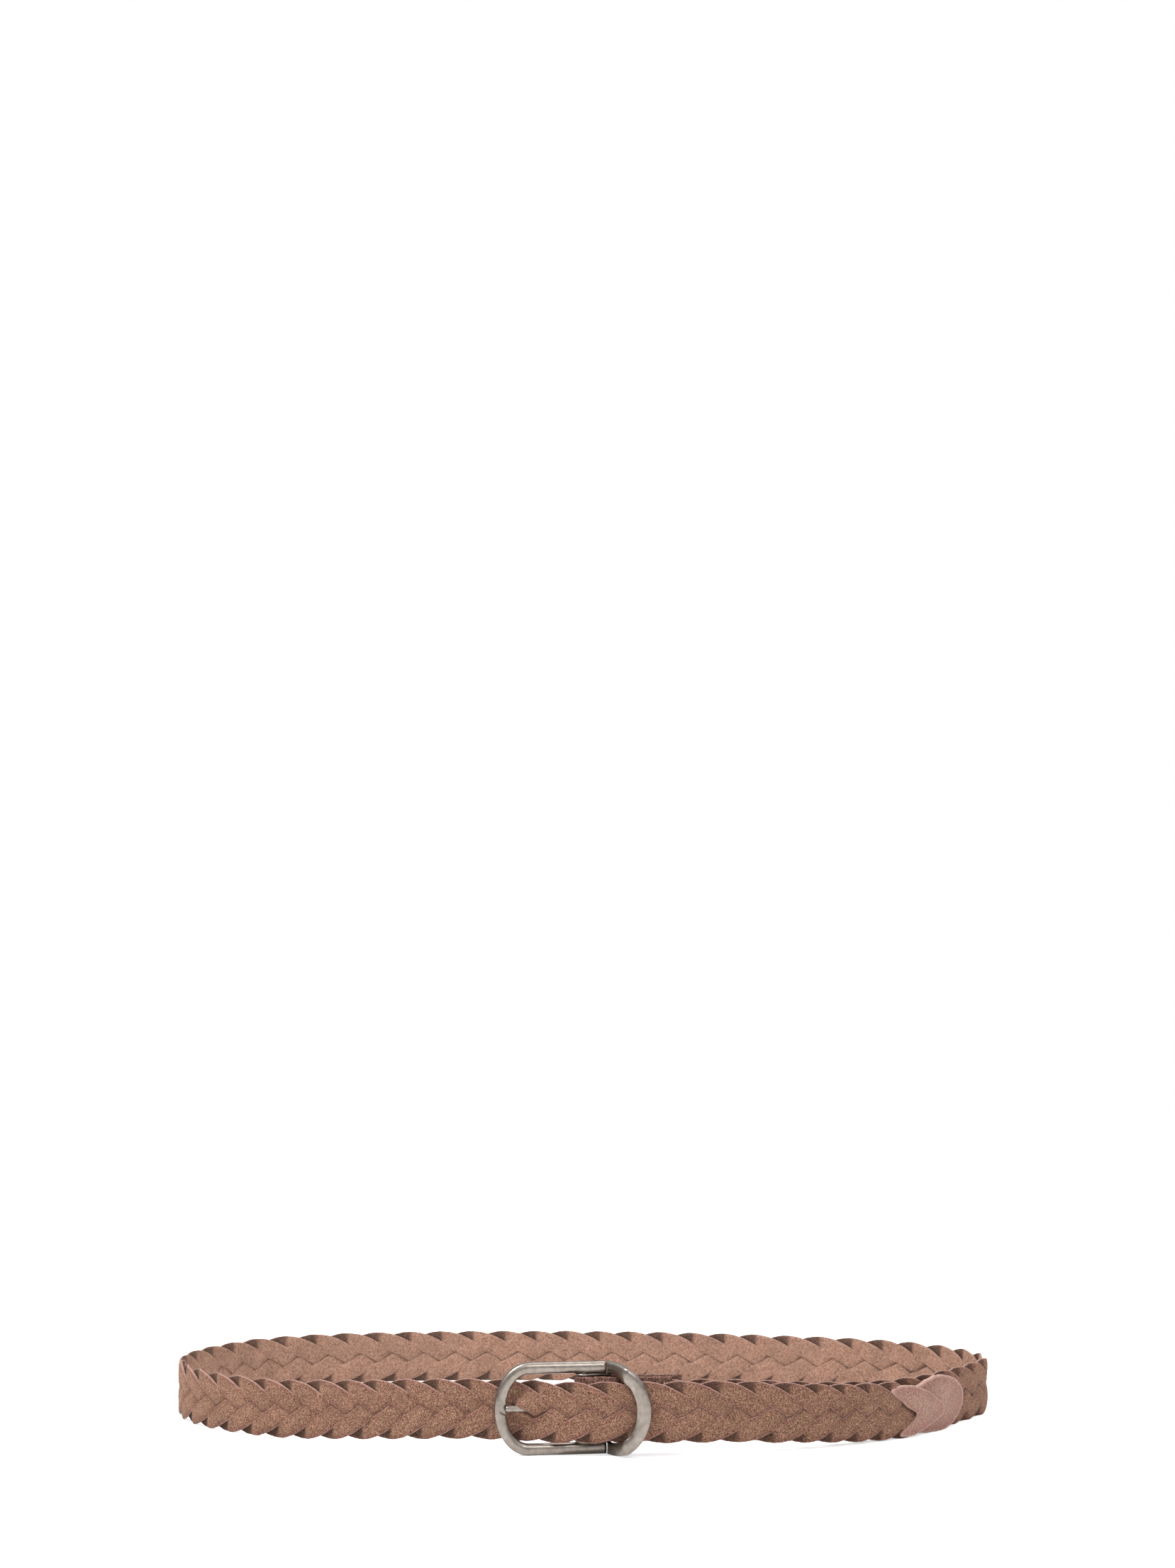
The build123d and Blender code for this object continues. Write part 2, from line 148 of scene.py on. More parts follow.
def strap_point(along, across, height):
    """A place in the strap: along it, across its thickness and up from its lower edge."""
    along, across, height = np.broadcast_arrays(along, across, height)
    outward = loop_outward(along)
    flat = loop_point(along) + outward * (layer_offset(along) + across)[..., None]
    lift = LIFT * (1 - smooth((np.abs(flat[..., 0]) - LIFT_FLAT) / (LIFT_END - LIFT_FLAT)))
    lift = np.where(flat[..., 1] < FRONT_HALF, lift, 0.0)
    return np.concatenate([flat, (height + lift)[..., None]], axis=-1)


def to_frame(points):
    """From millimetres measured from the bar to metres in the frame."""
    return np.asarray(points, float) * MM + BAR


print("once round the loop:", round(float(LOOP_LENGTH), 2), "mm")

# %% [markdown]
# ## Helpers
#
# A node tree is easiest to read as sums. `Field` wraps one socket, so that `2 * t + 1` makes the
# Math nodes. The same helper serves the Geometry Nodes trees and the materials.

# %% Node tree helpers


def feed(tree, socket, value):
    """Links a socket or a Field to an input, or sets its number."""
    if isinstance(value, Field):
        value = value.socket
    if isinstance(value, bpy.types.NodeSocket):
        tree.links.new(value, socket)
    else:
        socket.default_value = value


def add_node(tree, kind, inputs=None, **settings):
    made = tree.nodes.new(kind)
    for name, value in settings.items():
        setattr(made, name, value)
    for key, value in (inputs or {}).items():
        feed(tree, made.inputs[key], value)
    return made


class Field:
    """One number of a node tree, which can be added, multiplied and so on."""

    def __init__(self, tree, socket):
        self.tree, self.socket = tree, socket

    def math(self, operation, *others):
        made = add_node(self.tree, "ShaderNodeMath", operation=operation)
        for slot, value in zip(made.inputs, (self, *others)):
            feed(self.tree, slot, value)
        return Field(self.tree, made.outputs[0])

    def __add__(self, other):
        return self.math("ADD", other)

    def __mul__(self, other):
        return self.math("MULTIPLY", other)

    def __sub__(self, other):
        return self.math("SUBTRACT", other)

    def __truediv__(self, other):
        return self.math("DIVIDE", other)

    def __rtruediv__(self, number):
        return self.power(-1.0) * number

    def minus_from(self, number):
        """number - self"""
        return (self * -1.0) + number

    __radd__, __rmul__, __rsub__ = __add__, __mul__, minus_from

    def sin(self):
        return self.math("SINE")

    def cos(self):
        return self.math("COSINE")

    def tanh(self):
        return self.math("TANH")

    def exp(self):
        return self.math("EXPONENT")

    def size(self):
        return self.math("ABSOLUTE")

    def root(self):
        return self.math("SQRT")

    def sign(self):
        return self.math("SIGN")

    def power(self, exponent):
        return self.math("POWER", exponent)

    def limit(self, low=0.0, high=1.0):
        return self.math("MAXIMUM", low).math("MINIMUM", high)

    def step(self, start, end):
        """0 before start, 1 after end, smooth between."""
        t = ((self - start) / (end - start)).limit()
        return t * t * (3.0 - 2.0 * t)


def new_tree(name, kind, inputs, outputs):
    """A node group with named sockets. Returns the tree, its input sockets and its output node."""
    tree = bpy.data.node_groups.new(name, kind)
    for label, socket, default in inputs:
        made = tree.interface.new_socket(label, in_out="INPUT", socket_type=socket)
        if default is not None:
            made.default_value = default
    for label, socket in outputs:
        tree.interface.new_socket(label, in_out="OUTPUT", socket_type=socket)
    source = tree.nodes.new("NodeGroupInput")
    target = tree.nodes.new("NodeGroupOutput")
    sockets = {label: source.outputs[label] for label, _, _ in inputs}
    return tree, sockets, target


def set_input(modifier, label, value):
    """Sets a modifier's named input, which Blender finds by its identifier."""
    for item in modifier.node_group.interface.items_tree:
        if item.item_type == "SOCKET" and item.in_out == "INPUT" and item.name == label:
            modifier[item.identifier] = value
            return
    raise KeyError(label)


# %% Mesh helpers


def new_object(name, vertices, faces, edges=()):
    mesh = bpy.data.meshes.new(name)
    mesh.from_pydata([tuple(v) for v in vertices], [tuple(e) for e in edges], [tuple(f) for f in faces])
    mesh.validate()
    thing = bpy.data.objects.new(name, mesh)
    scene.collection.objects.link(thing)
    return thing


def settle(thing):
    """Turns an object with modifiers into a plain mesh."""
    bpy.context.view_layer.update()
    graph = bpy.context.evaluated_depsgraph_get()
    mesh = bpy.data.meshes.new_from_object(thing.evaluated_get(graph), depsgraph=graph)
    thing.modifiers.clear()
    thing.data = mesh
    mesh.name = thing.name
    return thing


def volume(mesh):
    work = bmesh.new()
    work.from_mesh(mesh)
    amount = work.calc_volume(signed=True)
    work.free()
    return amount


def turn_outwards(thing):
    work = bmesh.new()
    work.from_mesh(thing.data)
    if work.calc_volume(signed=True) < 0:
        bmesh.ops.reverse_faces(work, faces=work.faces)
    work.to_mesh(thing.data)
    work.free()
    return thing


def say(thing):
    mesh = thing.data
    triangles = sum(len(p.vertices) - 2 for p in mesh.polygons)
    print(f"{thing.name}: {triangles} triangles, {volume(mesh) / MM**3:.0f} mm3")
    return thing


# %% [markdown]
# ## Camera, light and floor
#
# The belt is seen from a little above its edge with a level camera, so upright things stay
# upright, and the lens is shifted up instead. Three soft boxes light it: the strongest from the
# left, one from above and a weak one in front. The room is plain, and the camera sees it white.

# %% Camera
CAMERA_BACK, CAMERA_HEIGHT, CAMERA_RIGHT = 0.852, 0.163, 1.7 * MM      # from the buckle's bar
camera_data = bpy.data.cameras.new("camera")
camera_data.lens = 45.2
camera_data.sensor_width = 36.0
camera_data.shift_y = 0.187
camera_data.clip_start = 0.05
camera_data.clip_end = 20.0
camera = bpy.data.objects.new("camera", camera_data)
camera.location = (BAR[0] + CAMERA_RIGHT, BAR[1] - CAMERA_BACK, CAMERA_HEIGHT)
camera.rotation_euler = (math.radians(90), 0, 0)
scene.collection.objects.link(camera)
scene.camera = camera
scene.view_settings.view_transform = "Standard"
print("camera at", [round(v, 4) for v in camera.location])

# %% Light


def soft_box(name, place, aim, size, watts):
    data = bpy.data.lights.new(name, "AREA")
    data.shape = "RECTANGLE"
    data.size, data.size_y = size
    data.energy = watts
    light = bpy.data.objects.new(name, data)
    light.location = place
    way = np.array(aim, float) - np.array(place, float)
    flat = math.hypot(way[0], way[1])
    light.rotation_euler = (math.atan2(flat, -way[2]), 0, math.atan2(way[1], way[0]) - math.pi / 2)
    scene.collection.objects.link(light)
    return light


soft_box("key_light", (-0.55, -0.45, 1.1), (0, 0, 0), (0.5, 0.4), 13.0)
soft_box("top_light", (0.3, 0.3, 1.3), (0, 0, 0), (0.8, 0.6), 6.0)
soft_box("front_light", (0.5, -1.4, 0.8), (0, 0, 0.02), (0.5, 0.4), 4.0)

world = bpy.data.worlds.new("room")
world.use_nodes = True
scene.world = world
room = world.node_tree
room.nodes.clear()
sky = add_node(room, "ShaderNodeSeparateXYZ", {0: add_node(room, "ShaderNodeTexCoord").outputs["Generated"]})
height = Field(room, sky.outputs[2])
brightness = height.step(0.0, 0.75) * 0.95 + 0.18      # the ceiling is brighter than the walls
plain = add_node(room, "ShaderNodeBackground", {"Color": (1, 1, 1, 1), "Strength": brightness})
seen = add_node(room, "ShaderNodeBackground", {"Color": (1, 1, 1, 1), "Strength": 1.0})
eye = add_node(room, "ShaderNodeLightPath")
both = add_node(room, "ShaderNodeMixShader", {0: eye.outputs["Is Camera Ray"]})
room.links.new(plain.outputs[0], both.inputs[1])
room.links.new(seen.outputs[0], both.inputs[2])
ending = add_node(room, "ShaderNodeOutputWorld")
room.links.new(both.outputs[0], ending.inputs["Surface"])

# %% Floor
FLOOR_REACH = 6.0
corners = [(-1, -1), (1, -1), (1, 1), (-1, 1)]
floor = new_object("floor", [(x * FLOOR_REACH, y * FLOOR_REACH, 0) for x, y in corners], [(0, 1, 2, 3)])
floor_paint = bpy.data.materials.new("white_floor")
floor_paint.use_nodes = True
paint = floor_paint.node_tree
surface = paint.nodes["Principled BSDF"]
surface.inputs["Base Color"].default_value = (0.9, 0.9, 0.9, 1)
surface.inputs["Roughness"].default_value = 0.9
surface.inputs["Emission Color"].default_value = (1, 1, 1, 1)
seen_ray = add_node(paint, "ShaderNodeLightPath").outputs["Is Camera Ray"]
feed(paint, surface.inputs["Emission Strength"], Field(paint, seen_ray) * 0.55)
floor.data.materials.append(floor_paint)

# %% [markdown]
# ## The plait
#
# A flat plait of five is a rule: every strip swings from edge to edge in the same wave, a fifth of
# a wave behind the one before, and it goes over two and under two. Real makers weave it by hand.
# In a model it could be drawn strip by strip, or one short repeat could be arrayed along a curve,
# but a repeat can't change its pitch or open up round a bend. Geometry Nodes can follow the rule
# itself: one tree draws a strip, five inputs make the belt.

# %% Plait values along the strap
PITCH, PITCH_BACK, PITCH_RIGHT, PITCH_TIP = 14.8, 16.9, 15.9, 13.1     # from one chevron to the next
FIRST_TURN = 0.265                                    # where in its wave the first strip is at the bar
PATH_START, PATH_STEP = 6.0, 0.5
PRONG_ABOVE = 1.4                                     # the prong lies this far above the strap's middle
BEND_START, BEND_END = 175.0, 330.0                   # the plait gapes round the tight right bend
PRONG_OUT, PRONG_REACH = 7.0, 13.5                    # how far the prong stands out, and from where
LETS_GO, LETS_GO_OVER = 29.5, 5.0                     # the plait comes down to the frame again here

path_along = np.arange(PATH_START, LOOP_LENGTH + PATH_END, PATH_STEP)
path_y = loop_point(path_along)[:, 1]
past_bar = path_along - LOOP_LENGTH
pitch = PITCH + (PITCH_BACK - PITCH) * smooth((path_y - 40) / 100)
tighter = (PITCH_RIGHT - PITCH_TIP) * smooth((past_bar - 84) / 12)
pitch += (PITCH_RIGHT - PITCH) * smooth(past_bar / 20) - tighter
turns = np.concatenate([[0], np.cumsum(PATH_STEP / (5 * pitch[:-1]))])
turns += FIRST_TURN - np.interp(0, past_bar, turns)
gape = smooth((path_along - BEND_START) / 40) * smooth((BEND_END - path_along) / 40)
centre = strap_point(path_along, 0.0, STRAP_WIDTH / 2)
x_here = np.where(past_bar > -100, centre[:, 0], 500.0)          # only the outer layer has a prong under it
over_prong = PRONG_OUT * np.clip((-PRONG_REACH - x_here) / PRONG_REACH, 0, 1.3)
lets_go = smooth((x_here + LETS_GO) / LETS_GO_OVER)

path = new_object("strap_path", to_frame(centre), [], [(i, i + 1) for i in range(len(path_along) - 1)])
outward = np.concatenate([loop_outward(path_along), np.zeros((len(path_along), 1))], axis=1)
for name, kind, values in (("turns", "FLOAT", turns), ("pitch", "FLOAT", pitch), ("gape", "FLOAT", gape),
                           ("over_prong", "FLOAT", over_prong), ("lets_go", "FLOAT", lets_go),
                           ("outward", "FLOAT_VECTOR", outward)):
    layer = path.data.attributes.new(name, kind, "POINT")
    layer.data.foreach_set("vector" if kind == "FLOAT_VECTOR" else "value", values.ravel().astype(np.float32))
print("the plait turns", round(float(turns[-1] - turns[0]), 2), "times")

# %% The tree that draws one strip


def read_path(tree, geometry, name, along, kind="FLOAT"):
    """A value of the strap's path at a distance along it, mixed from its two nearest points."""
    spot = (along - PATH_START) * (1 / PATH_STEP)
    whole = spot.math("FLOOR")
    if name == "position":
        field = tree.nodes.new("GeometryNodeInputPosition").outputs[0]
    else:
        named = add_node(tree, "GeometryNodeInputNamedAttribute", {"Name": name}, data_type=kind)
        field = named.outputs["Attribute"]
    ends = []
    for more in (0.0, 1.0):
        inputs = {"Geometry": geometry, "Value": field, "Index": whole + more}
        sample = add_node(tree, "GeometryNodeSampleIndex", inputs, data_type=kind, domain="POINT", clamp=True)
        ends.append(sample.outputs[0])
    if kind == "FLOAT":
        low, high = (Field(tree, end) for end in ends)
        return low + (high - low) * (spot - whole)
    mix = add_node(tree, "ShaderNodeMix", {0: spot - whole, 4: ends[0], 5: ends[1]}, data_type="VECTOR")
    return mix.outputs[1]


def noise(tree, x, y, z, scale=1.0, detail=1.0):
    """Smooth noise from -1 to 1 at a place given by three numbers."""
    place = tree.nodes.new("ShaderNodeCombineXYZ")
    for socket, value in zip(place.inputs, (x, y, z)):
        feed(tree, socket, value)
    made = add_node(tree, "ShaderNodeTexNoise",
                    {"Vector": place.outputs[0], "Scale": scale, "Detail": detail}, noise_dimensions="3D")
    return (Field(tree, made.outputs[0]) - 0.5) * 2.6


def vector(tree, operation, first, second=None, scale=None):
    made = add_node(tree, "ShaderNodeVectorMath", operation=operation)
    feed(tree, made.inputs[0], first)
    if second is not None:
        feed(tree, made.inputs[1], second)
    if scale is not None:
        feed(tree, made.inputs["Scale"], scale)
    return made.outputs[0]


def strip_tree():
    labels = [
        ("Path", "NodeSocketObject", None), ("Strip", "NodeSocketInt", 0),
        ("First", "NodeSocketFloat", 0.0), ("Last", "NodeSocketFloat", 100.0),
        ("Rings", "NodeSocketInt", 200), ("Sides", "NodeSocketInt", 20),
        ("Width", "NodeSocketFloat", 9.25), ("Thickness", "NodeSocketFloat", 1.6),
        ("Swing", "NodeSocketFloat", 8.7), ("Crossing", "NodeSocketFloat", 1.2),
        ("Lap", "NodeSocketFloat", 0.42), ("Lean", "NodeSocketFloat", 0.337),
        ("Unevenness", "NodeSocketFloat", 1.0),
        ("Suede", "NodeSocketMaterial", None), ("Grain", "NodeSocketMaterial", None),
    ]
    tree, given, target = new_tree("plaited_strip", "GeometryNodeTree", labels,
                                   [("Geometry", "NodeSocketGeometry")])
    f = {name: Field(tree, socket) for name, socket in given.items()}
    path_info = add_node(
        tree, "GeometryNodeObjectInfo", {"Object": given["Path"]}, transform_space="ORIGINAL")
    path_mesh = path_info.outputs["Geometry"]

    grid = add_node(tree, "GeometryNodeMeshGrid", {
        "Size X": 1.0, "Size Y": 1.0, "Vertices X": given["Rings"], "Vertices Y": f["Sides"] + 1.0})
    flat_place = tree.nodes.new("GeometryNodeInputPosition").outputs[0]
    spot = add_node(tree, "ShaderNodeSeparateXYZ", {0: flat_place})
    ring = ((Field(tree, spot.outputs[0]) + 0.5) * (f["Rings"] - 1.0)).math("ROUND")
    angle = (Field(tree, spot.outputs[1]) + 0.5) * TAU
    closing = ring.math("MINIMUM", f["Rings"] - 1.0 - ring).limit(0.0, 1.0)
    share = ((ring - 1.0) / (f["Rings"] - 3.0)).limit()
    along = f["First"] + (f["Last"] - f["First"]) * share

    # The section: a flat strip with softly rounded edges. 'a' runs across it and 'b' through it.
    a = angle.cos().sign() * angle.cos().size().power(0.5)
    b = angle.sin().sign() * angle.sin().size().power(0.5)

    turn = read_path(tree, path_mesh, "turns", along)
    pitch_here = read_path(tree, path_mesh, "pitch", along)
    gape_here = read_path(tree, path_mesh, "gape", along)
    lets_go_here = read_path(tree, path_mesh, "lets_go", along)
    wave = (turn + f["Strip"] * 0.2) * TAU
    seed = f["Strip"] * 13.7
    drift = noise(tree, along * 0.035, seed, 3.3) * 0.35 * f["Unevenness"]
    wave = wave + drift * 0.12
    up_wave, side_wave = wave.cos(), wave.sin()

    slope = f["Swing"] * side_wave * (TAU / 5) / pitch_here
    length = (slope * slope + 1.0).root()
    lean = side_wave * f["Lean"]
    ragged = noise(tree, along * 0.9, seed + a.sign() * 5.0, 1.7, detail=3.0) * 0.16 * f["Unevenness"]
    uneven = 1.0 + noise(tree, along * 0.06, seed, 9.1) * 0.035 * f["Unevenness"]
    wide = (f["Width"] + (pitch_here - 15.4) * 0.22) / 2 * uneven
    wide = wide * (1.0 - gape_here * 0.24 * (1.0 - up_wave.size())) + ragged
    reach = a * wide * closing
    shift = reach * (slope + lean) / length
    up = f["Swing"] * up_wave + reach * (1.0 - lean * slope) / length

    # Over two, under two. Strips on top bow a little, and the edges of the strap stay thin.
    twice = (wave * 2.0).sin()
    over = (twice * 3.2).tanh() * f["Crossing"]
    over = over * (1.0 - a * a * 0.22 * f["Unevenness"].limit(0.2, 1.0))
    over = over + drift * 0.25
    proud = over / f["Crossing"]
    over = over + f["Lap"] * a * side_wave * proud.limit(0.0, 1.0)      # each edge laps over its neighbour
    thick = f["Thickness"] / 2 * (1.0 + noise(tree, along * 0.2, seed, 6.4) * 0.08 * f["Unevenness"])
    across = over + b * thick * closing

    # Round the prong, the strips that pass over it are pushed forward.
    here = along + shift
    near = ((up - PRONG_ABOVE) / 4.6)
    near = (near * near * -1.0).exp()
    bulge = read_path(tree, path_mesh, "over_prong", here) * lets_go_here * near * proud.limit(0.0, 1.0)
    across = across + bulge
    place = read_path(tree, path_mesh, "position", here, "FLOAT_VECTOR")
    out = read_path(tree, path_mesh, "outward", here, "FLOAT_VECTOR")
    place = vector(tree, "ADD", place, vector(tree, "SCALE", out, scale=across * MM))
    rise = tree.nodes.new("ShaderNodeCombineXYZ")
    feed(tree, rise.inputs[2], up * MM)
    place = vector(tree, "ADD", place, rise.outputs[0])

    # What the materials need to know about each point is kept with the mesh.
    shape = grid.outputs[0]
    for name, value in (("through", b), ("edge", a.size()), ("proud", proud * b.sign())):
        shape = add_node(tree, "GeometryNodeStoreNamedAttribute",
                         {"Geometry": shape, "Name": name, "Value": value},
                         data_type="FLOAT", domain="POINT").outputs[0]
    shape = add_node(tree, "GeometryNodeSetPosition", {"Geometry": shape, "Position": place}).outputs[0]
    joined = add_node(tree, "GeometryNodeMergeByDistance", {"Geometry": shape, "Distance": 2e-6})
    soft = add_node(tree, "GeometryNodeSetShadeSmooth", {"Geometry": joined.outputs[0], "Shade Smooth": True})
    real = add_node(tree, "GeometryNodeRealizeInstances", {"Geometry": soft.outputs[0]})
    inside = add_node(
        tree, "GeometryNodeSetMaterial", {"Geometry": real.outputs[0], "Material": given["Grain"]})
    through = add_node(tree, "GeometryNodeInputNamedAttribute", {"Name": "through"}, data_type="FLOAT")
    outer_face = Field(tree, through.outputs["Attribute"]).math("GREATER_THAN", -0.55)
    outside = add_node(tree, "GeometryNodeSetMaterial", {
        "Geometry": inside.outputs[0], "Selection": outer_face, "Material": given["Suede"]})
    tree.links.new(outside.outputs[0], target.inputs[0])
    return tree


STRIP_TREE = strip_tree()
print("strip tree:", len(STRIP_TREE.nodes), "nodes")

# %% [markdown]
# ## Materials
#
# Suede is felt more than seen: a speckle of fine nap that is lighter where it stands up and darker
# where it lies down. Three noises make it, and they share one group so that every leather piece
# has the same kind of grain, each at its own size. The colour and the bump follow that speckle.

# %% Material helpers


def linear(red, green, blue):
    """A colour as a paint chart gives it (0 to 255), as the linear values that materials use."""
    values = [v / 255 for v in (red, green, blue)]
    return tuple(v / 12.92 if v < 0.04045 else ((v + 0.055) / 1.055) ** 2.4 for v in values) + (1.0,)


def ramp(tree, value, stops):
    """A colour ramp, from a value of 0 to 1."""
    made = add_node(tree, "ShaderNodeValToRGB", {0: value})
    while len(made.color_ramp.elements) < len(stops):
        made.color_ramp.elements.new(0.5)
    for element, (place, colour) in zip(made.color_ramp.elements, stops):
        element.position = place
        element.color = colour
    return made.outputs[0]


def blend_colour(tree, how, amount, first, second):
    made = add_node(tree, "ShaderNodeMix", {0: amount, 6: first, 7: second}, data_type="RGBA", blend_type=how)
    return made.outputs[2]


def shader_noise(tree, place, scale, detail=2.0, roughness=0.5, distortion=0.0):
    made = add_node(tree, "ShaderNodeTexNoise", {
        "Vector": place, "Scale": scale, "Detail": detail, "Roughness": roughness, "Distortion": distortion})
    return Field(tree, made.outputs[0])


def new_material(name):
    material = bpy.data.materials.new(name)
    material.use_nodes = True
    tree = material.node_tree
    return material, tree, tree.nodes["Principled BSDF"]


def use_group(tree, group, **inputs):
    made = tree.nodes.new("ShaderNodeGroup")
    made.node_tree = group
    for key, value in inputs.items():
        feed(tree, made.inputs[key.replace("_", " ")], value)
    return made


# %% The shared nap: speckle, patches and height


def nap_group():
    tree, given, target = new_tree("suede_nap", "ShaderNodeTree", [
        ("Vector", "NodeSocketVector", None), ("Grain size", "NodeSocketFloat", 0.45)],
        [("Speckle", "NodeSocketFloat"), ("Patches", "NodeSocketFloat"), ("Height", "NodeSocketFloat")])
    size = Field(tree, given["Grain size"])
    fine = shader_noise(tree, given["Vector"], (1.0 / MM) / size * 0.8, 3.0, 0.65, 0.3)
    dots = shader_noise(tree, given["Vector"], (1.0 / MM) / size * 0.42, 2.0, 0.7, 0.3)
    patches = shader_noise(tree, given["Vector"], 90.0, 3.0, 0.55, 0.4)
    speckle = ((fine * 0.72 + dots * 0.28) - 0.5) * 3.4 + 0.5
    feed(tree, target.inputs["Speckle"], speckle.limit())
    feed(tree, target.inputs["Patches"], ((patches - 0.5) * 2.2 + 0.5).limit())
    feed(tree, target.inputs["Height"], fine * 0.6 + dots * 0.5)
    return tree


NAP = nap_group()
# Painted shadow colour, mixed into the strips where they dip under their neighbours.
GAP_SHADOW = (0.02, 0.009, 0.006, 1.0)        # the brown-black between two strips


def leather(name, dark, middle, light, grain=0.45, bump=0.5, roughness=0.9, sheen=0.35, patchy=0.25,
            paint_gap_shade=False, rim=None, pale_edge=None):
    """Suede or split leather: speckled colour, a furry bump, a soft sheen, and painted shade if asked."""
    material, tree, surface = new_material(name)
    place = tree.nodes.new("ShaderNodeTexCoord").outputs["Object"]
    nap = use_group(tree, NAP, Vector=place, Grain_size=grain)
    colour = ramp(tree, nap.outputs["Speckle"], [(0.05, dark), (0.5, middle), (0.95, light)])
    shade = Field(tree, nap.outputs["Patches"]) * patchy + (1.0 - patchy / 2)
    grey = tree.nodes.new("ShaderNodeCombineXYZ")
    for socket in grey.inputs:
        feed(tree, socket, shade)
    colour = blend_colour(tree, "MULTIPLY", 1.0, colour, grey.outputs[0])
    if rim:
        rim_place = add_node(tree, "ShaderNodeAttribute", attribute_name="edge")
        near_rim = Field(tree, rim_place.outputs["Fac"]).step(0.35, 0.95)
        colour = blend_colour(tree, "MULTIPLY", near_rim * 0.8, colour, rim)
    # Painted shade: where a strip dips under its neighbours, its colour is mixed towards a dark brown,
    # standing in for the shadow in the plait's hollows.
    if paint_gap_shade:
        proud = Field(tree, add_node(tree, "ShaderNodeAttribute", attribute_name="proud").outputs["Fac"])
        hollow_shade_mask = 1.0 - proud.step(-0.35, 0.65)
        dusk = use_group(tree, NAP, Vector=place, Grain_size=1.2)
        painted_gap_shade_amount = hollow_shade_mask * (Field(tree, dusk.outputs["Speckle"]) * 0.2 + 0.8)
        colour = blend_colour(tree, "MIX", painted_gap_shade_amount * 0.76, colour, GAP_SHADOW)
    if pale_edge:
        edge = add_node(tree, "ShaderNodeAttribute", attribute_name="edge")
        worn = Field(tree, edge.outputs["Fac"]).step(0.88, 0.99)
        worn = worn * (Field(tree, nap.outputs["Speckle"]) * 0.5 + 0.35)
        colour = blend_colour(tree, "MIX", worn, colour, pale_edge)
    tree.links.new(colour, surface.inputs["Base Color"])
    surface.inputs["Roughness"].default_value = roughness
    surface.inputs["Specular IOR Level"].default_value = 0.25
    surface.inputs["Sheen Weight"].default_value = sheen
    surface.inputs["Sheen Roughness"].default_value = 0.6
    surface.inputs["Sheen Tint"].default_value = light
    raised = add_node(tree, "ShaderNodeBump", {
        "Height": nap.outputs["Height"], "Strength": bump, "Distance": 0.35 * MM})
    tree.links.new(raised.outputs[0], surface.inputs["Normal"])
    return material


SUEDE = leather("suede", linear(40, 23, 16), linear(116, 82, 65), linear(174, 139, 117), grain=0.34,
                rim=linear(238, 222, 232), paint_gap_shade=True, pale_edge=linear(168, 136, 126))
GRAIN = leather("grain_side", linear(112, 80, 64), linear(142, 107, 90), linear(160, 128, 110),
                grain=0.7, bump=0.2, roughness=0.6, sheen=0.1, patchy=0.3, paint_gap_shade=True)
TAB_LEATHER = leather("tab_leather", linear(104, 74, 62), linear(151, 119, 105), linear(180, 150, 136),
                      grain=0.34, bump=0.35, roughness=0.85, sheen=0.25, patchy=0.2,
                      rim=linear(240, 220, 226), pale_edge=linear(184, 154, 142))
# The chape's suede is the plait's suede given darker colours: painted shade, as the chape lies in shadow
# behind the strap.
SUEDE_IN_PAINTED_SHADE = leather("chape_suede", linear(44, 27, 22), linear(100, 70, 60), linear(156, 122, 110),
                     grain=0.5, bump=0.7, roughness=0.92, sheen=0.3)
print("leathers:", SUEDE.name, GRAIN.name, TAB_LEATHER.name, SUEDE_IN_PAINTED_SHADE.name)

# %% [markdown]
# ## Nickel and thread
#
# Satin metal is one even colour; what the eye reads is the light running along it. So the colour
# hardly changes, and the roughness does: fine lines left by polishing, and clouds where hands rub.

# %% Nickel and thread


def brushed_nickel():
    """Warm satin nickel: fine hairlines from polishing, and a thin patina that rubs off."""
    material, tree, surface = new_material("satin_nickel")
    place = tree.nodes.new("ShaderNodeTexCoord").outputs["Object"]
    hair = add_node(tree, "ShaderNodeMapping", {"Vector": place, "Scale": (300.0, 300.0, 2500.0)})
    lines = shader_noise(tree, hair.outputs[0], 1.0, 3.0, 0.6)
    clouds = shader_noise(tree, place, 420.0, 3.0, 0.6)
    colour = ramp(tree, clouds, [
        (0.3, linear(134, 124, 115)), (0.55, linear(150, 141, 133)), (0.8, linear(164, 156, 149))])
    tree.links.new(colour, surface.inputs["Base Color"])
    feed(tree, surface.inputs["Roughness"], (lines - 0.5) * 0.10 + (clouds - 0.5) * 0.10 + 0.31)
    surface.inputs["Metallic"].default_value = 1.0
    raised = add_node(tree, "ShaderNodeBump", {"Height": lines, "Strength": 0.03, "Distance": 0.02 * MM})
    tree.links.new(raised.outputs[0], surface.inputs["Normal"])
    return material


def yarn():
    material, tree, surface = new_material("thread_yarn")
    place = tree.nodes.new("ShaderNodeTexCoord").outputs["Object"]
    twist = shader_noise(tree, place, 2500.0, 2.0, 0.5)
    tree.links.new(ramp(tree, twist, [(0.3, linear(176, 150, 132)), (0.7, linear(232, 216, 200))]),
                   surface.inputs["Base Color"])
    surface.inputs["Roughness"].default_value = 0.75
    return material


NICKEL = brushed_nickel()
THREAD_YARN = yarn()
print("others:", NICKEL.name, THREAD_YARN.name)

# %% [markdown]
# ## The ten strips
#
# The tree draws each strip twice: once round the belt, and once for the free end past the keeper,
# which has its own joint.

# %% Draw the ten strips


